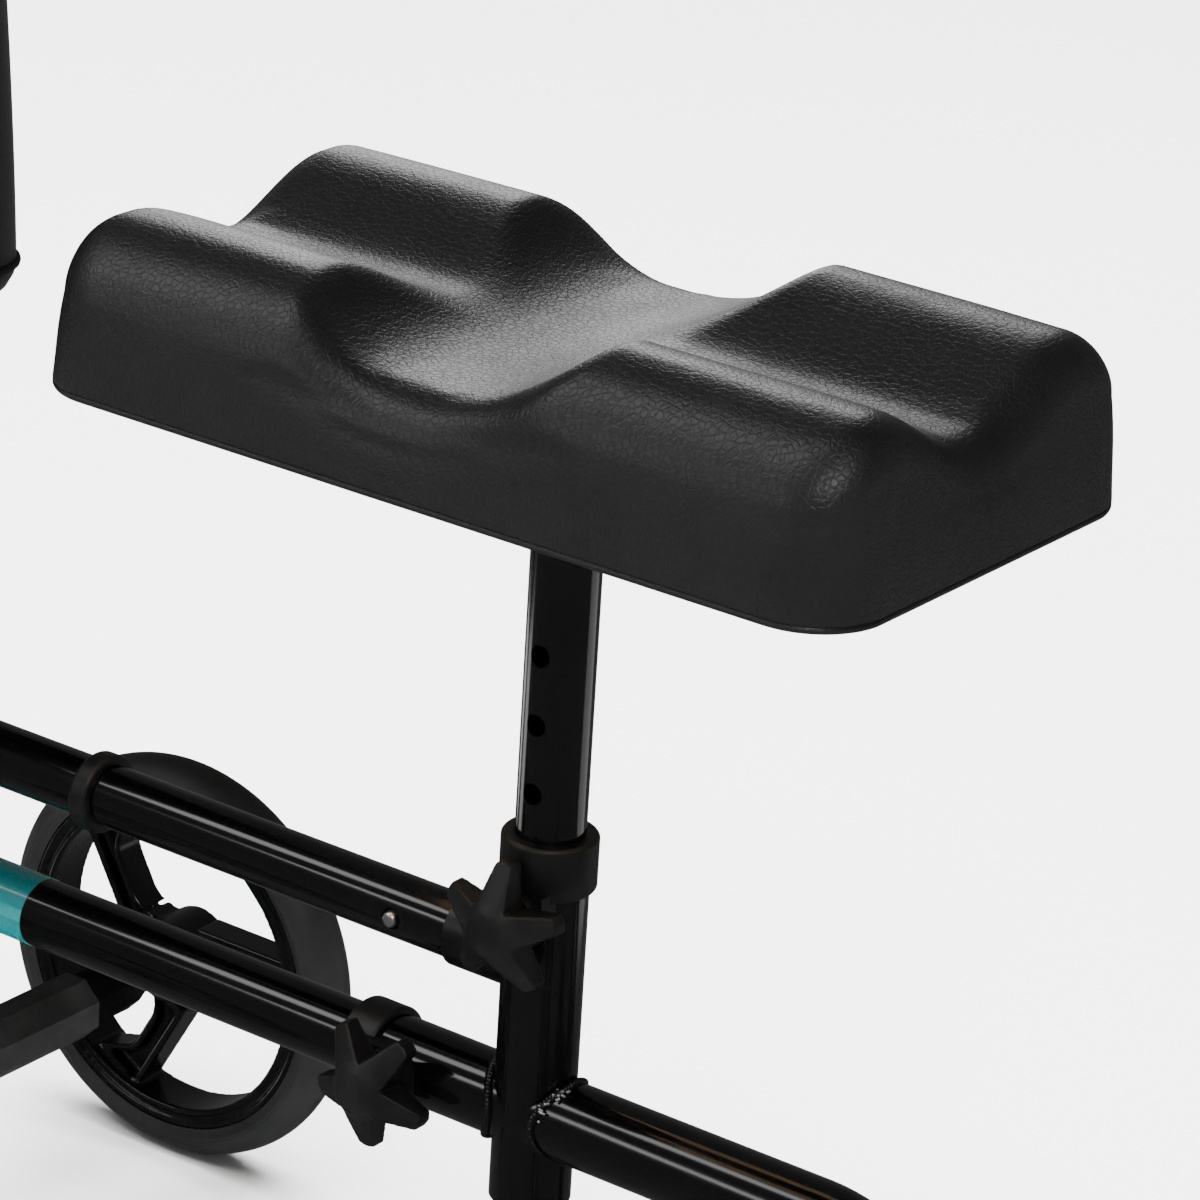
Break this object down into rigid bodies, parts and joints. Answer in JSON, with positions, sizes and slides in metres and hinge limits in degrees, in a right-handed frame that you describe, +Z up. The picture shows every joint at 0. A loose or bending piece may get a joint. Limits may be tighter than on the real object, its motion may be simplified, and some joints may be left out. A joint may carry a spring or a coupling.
{
  "type": "knee scooter",
  "caption": "Steerable knee scooter: lobed foam knee pad on a sliding post, star-knob clamps, twin front tubes, folding handlebar column, hand-lever drum brake and front bag.",
  "frame": {"origin": "on the floor, under the middle of the object's bounding box, with the steering straight", "axes": "+X forward, +Y to the rider's left, +Z up"},
  "size_m": [0.8402, 0.4706, 0.944],
  "materials": {
    "frame_paint": "gloss",
    "axle_beam_paint": "matte",
    "black_gloss_plastic": "gloss",
    "knob_plastic": "matte",
    "bushing_plastic": "satin",
    "zinc_steel": "satin",
    "bright_steel": "polished",
    "bare_aluminium": "satin",
    "black_aluminium": "satin",
    "drum_iron": "satin",
    "brake_lining": "matte",
    "tyre_rubber": "matte",
    "grip_rubber": "matte",
    "pad_foam": "satin",
    "pad_board": "matte",
    "bag_fabric": "matte",
    "label_print": "gloss"
  },
  "bodies": {
    "rear_frame": {"seat_sleeve": "frame_paint", "seat_collar": "knob_plastic", "frame_stubs": "frame_paint", "frame_collar": "knob_plastic", "upper_socket": "bushing_plastic", "snap_spring": "zinc_steel", "rear_main_tube": "frame_paint", "rear_cross_tube": "frame_paint", "rear_axle": "zinc_steel", "front_lower_tube": "frame_paint", "front_upper_tube": "frame_paint", "tube_ring": "knob_plastic", "tube_label": "label_print", "head_tube": "frame_paint", "head_bushings": "bushing_plastic", "brake_plate": "zinc_steel", "brake_shoes": "brake_lining"},
    "seat": {"seat_post": "frame_paint", "seat_post_plug": "bushing_plastic", "seat_plate": "frame_paint", "seat_screws": "zinc_steel", "seat_board": "pad_board", "knee_pad": "pad_foam"},
    "steering": {"steerer_tube": "frame_paint", "steerer_collars": "zinc_steel", "fold_fork": "frame_paint", "fold_pin": "zinc_steel", "front_axle_beam": "axle_beam_paint", "front_axle_ends": "black_gloss_plastic", "front_axle": "zinc_steel", "bag_bracket": "black_gloss_plastic", "front_bag": "bag_fabric"},
    "fold_lever_body": {"fold_lever": "black_aluminium"},
    "tiller": {"fold_tongue": "black_aluminium", "upper_column": "frame_paint", "column_collar": "knob_plastic"},
    "handlebar": {"handlebar_stem": "frame_paint", "handlebar_bar": "frame_paint", "grips": "grip_rubber", "brake_lever_clamp": "black_aluminium", "brake_lever_fittings": "zinc_steel"},
    "brake_lever_body": {"brake_lever": "black_aluminium"},
    "brake_arm_body": {"brake_arm": "zinc_steel"},
    "seat_knob_body": {"seat_knob": "knob_plastic"},
    "frame_knob_body": {"frame_knob": "knob_plastic"},
    "column_knob_body": {"column_knob": "knob_plastic"},
    "snap_button_body": {"snap_button": "bright_steel"},
    "front_left_wheel": {"front_left_tyre": "tyre_rubber", "front_left_rim": "black_gloss_plastic", "front_left_bearings": "zinc_steel"},
    "front_right_wheel": {"front_right_tyre": "tyre_rubber", "front_right_rim": "black_gloss_plastic", "front_right_bearings": "zinc_steel"},
    "rear_left_wheel": {"rear_left_tyre": "tyre_rubber", "rear_left_rim": "black_gloss_plastic", "rear_left_bearings": "zinc_steel"},
    "rear_right_wheel": {"rear_right_tyre": "tyre_rubber", "rear_right_rim": "black_gloss_plastic", "rear_right_bearings": "zinc_steel", "brake_drum": "drum_iron"}
  },
  "joints": [
    {"name": "seat_slide", "type": "slide", "parent": "rear_frame", "child": "seat", "axis": [0, 0, 1], "range_m": [-0.0828, 0.0276]},
    {"name": "steering_turn", "type": "hinge", "parent": "rear_frame", "child": "steering", "pos_m": [0.27513, 0, 0.3], "axis": [0, 0, 1], "range_deg": [-45, 45]},
    {"name": "tiller_fold", "type": "hinge", "parent": "steering", "child": "tiller", "pos_m": [0.27513, 0, 0.612], "axis": [0, -1, 0], "range_deg": [0, 80]},
    {"name": "fold_lever_turn", "type": "hinge", "parent": "steering", "child": "fold_lever_body", "pos_m": [0.27513, 0.0315, 0.612], "axis": [1, 0, 0], "range_deg": [0, 150]},
    {"name": "handlebar_slide", "type": "slide", "parent": "tiller", "child": "handlebar", "axis": [0, 0, 1], "range_m": [-0.055, 0.0276]},
    {"name": "brake_lever_pull", "type": "hinge", "parent": "handlebar", "child": "brake_lever_body", "pos_m": [0.29344, -0.09596, 0.925], "axis": [0, 0, -1], "range_deg": [0, 15], "stiffness_Nm_per_rad": 0.5, "springref_deg": -17.19},
    {"name": "brake_arm_turn", "type": "hinge", "parent": "rear_frame", "child": "brake_arm_body", "pos_m": [-0.31888, -0.162, 0.11925], "axis": [0, 1, 0], "range_deg": [0, 12]},
    {"name": "seat_knob_turn", "type": "hinge", "parent": "rear_frame", "child": "seat_knob_body", "pos_m": [-0.06988, 0.03, 0.3], "axis": [0, 1, 0], "continuous": true},
    {"name": "frame_knob_turn", "type": "hinge", "parent": "rear_frame", "child": "frame_knob_body", "pos_m": [-0.01188, 0.03, 0.214], "axis": [0, 1, 0], "continuous": true},
    {"name": "column_knob_turn", "type": "hinge", "parent": "tiller", "child": "column_knob_body", "pos_m": [0.27513, 0.03, 0.788], "axis": [0, 1, 0], "continuous": true},
    {"name": "snap_button_press", "type": "slide", "parent": "rear_frame", "child": "snap_button_body", "axis": [0, -1, 0], "range_m": [0, 0.0025], "stiffness_N_per_m": 500, "springref_m": -0.002},
    {"name": "front_left_wheel_spin", "type": "hinge", "parent": "steering", "child": "front_left_wheel", "pos_m": [0.27513, 0.197, 0.09525], "axis": [0, 1, 0], "continuous": true},
    {"name": "front_right_wheel_spin", "type": "hinge", "parent": "steering", "child": "front_right_wheel", "pos_m": [0.27513, -0.197, 0.09525], "axis": [0, 1, 0], "continuous": true},
    {"name": "rear_left_wheel_spin", "type": "hinge", "parent": "rear_frame", "child": "rear_left_wheel", "pos_m": [-0.32488, 0.197, 0.09525], "axis": [0, 1, 0], "continuous": true},
    {"name": "rear_right_wheel_spin", "type": "hinge", "parent": "rear_frame", "child": "rear_right_wheel", "pos_m": [-0.32488, -0.197, 0.09525], "axis": [0, 1, 0], "continuous": true}
  ],
  "couplings": [
    {"joint": "brake_arm_turn", "follows": "brake_lever_pull", "ratio": 0.7}
  ]
}
